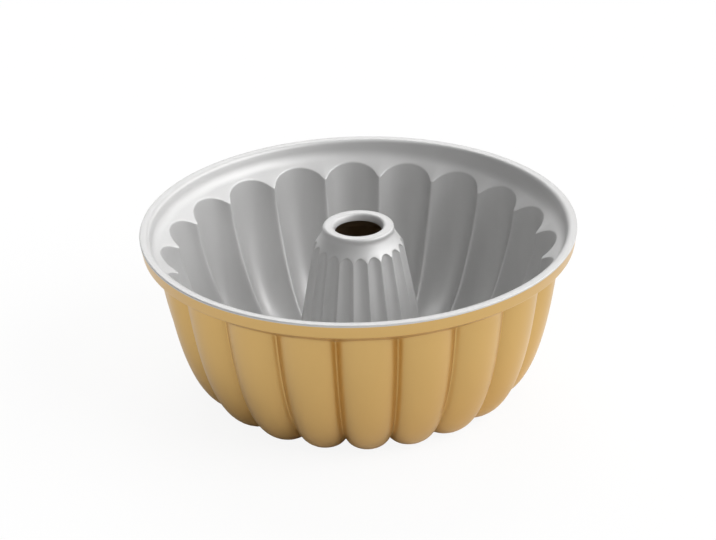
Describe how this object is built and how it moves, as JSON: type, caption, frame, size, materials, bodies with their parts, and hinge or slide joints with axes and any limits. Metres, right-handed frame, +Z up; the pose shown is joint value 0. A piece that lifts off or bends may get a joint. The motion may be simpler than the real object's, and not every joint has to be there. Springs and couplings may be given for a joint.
{
  "type": "fluted tube pan",
  "caption": "Round cast tube pan with a thick flat rim, deep fluted petals on wall and floor, and a tapered fluted centre tube; gold outside, silver-grey inside.",
  "frame": {"origin": "on the pan's axis, in the plane of the small flats under the petals that the pan stands on", "axes": "+Z up along the axis of the centre tube, out of the open top; +X and +Y each pass over the crest of a petal"},
  "size_m": [0.26, 0.26, 0.1065],
  "materials": {
    "bare_aluminium": "satin",
    "gold_coat": "satin",
    "release_coat": "satin"
  },
  "bodies": {
    "root": {"pan_casting": "bare_aluminium", "outer_coat": "gold_coat", "inner_coat": "release_coat"}
  },
  "joints": []
}
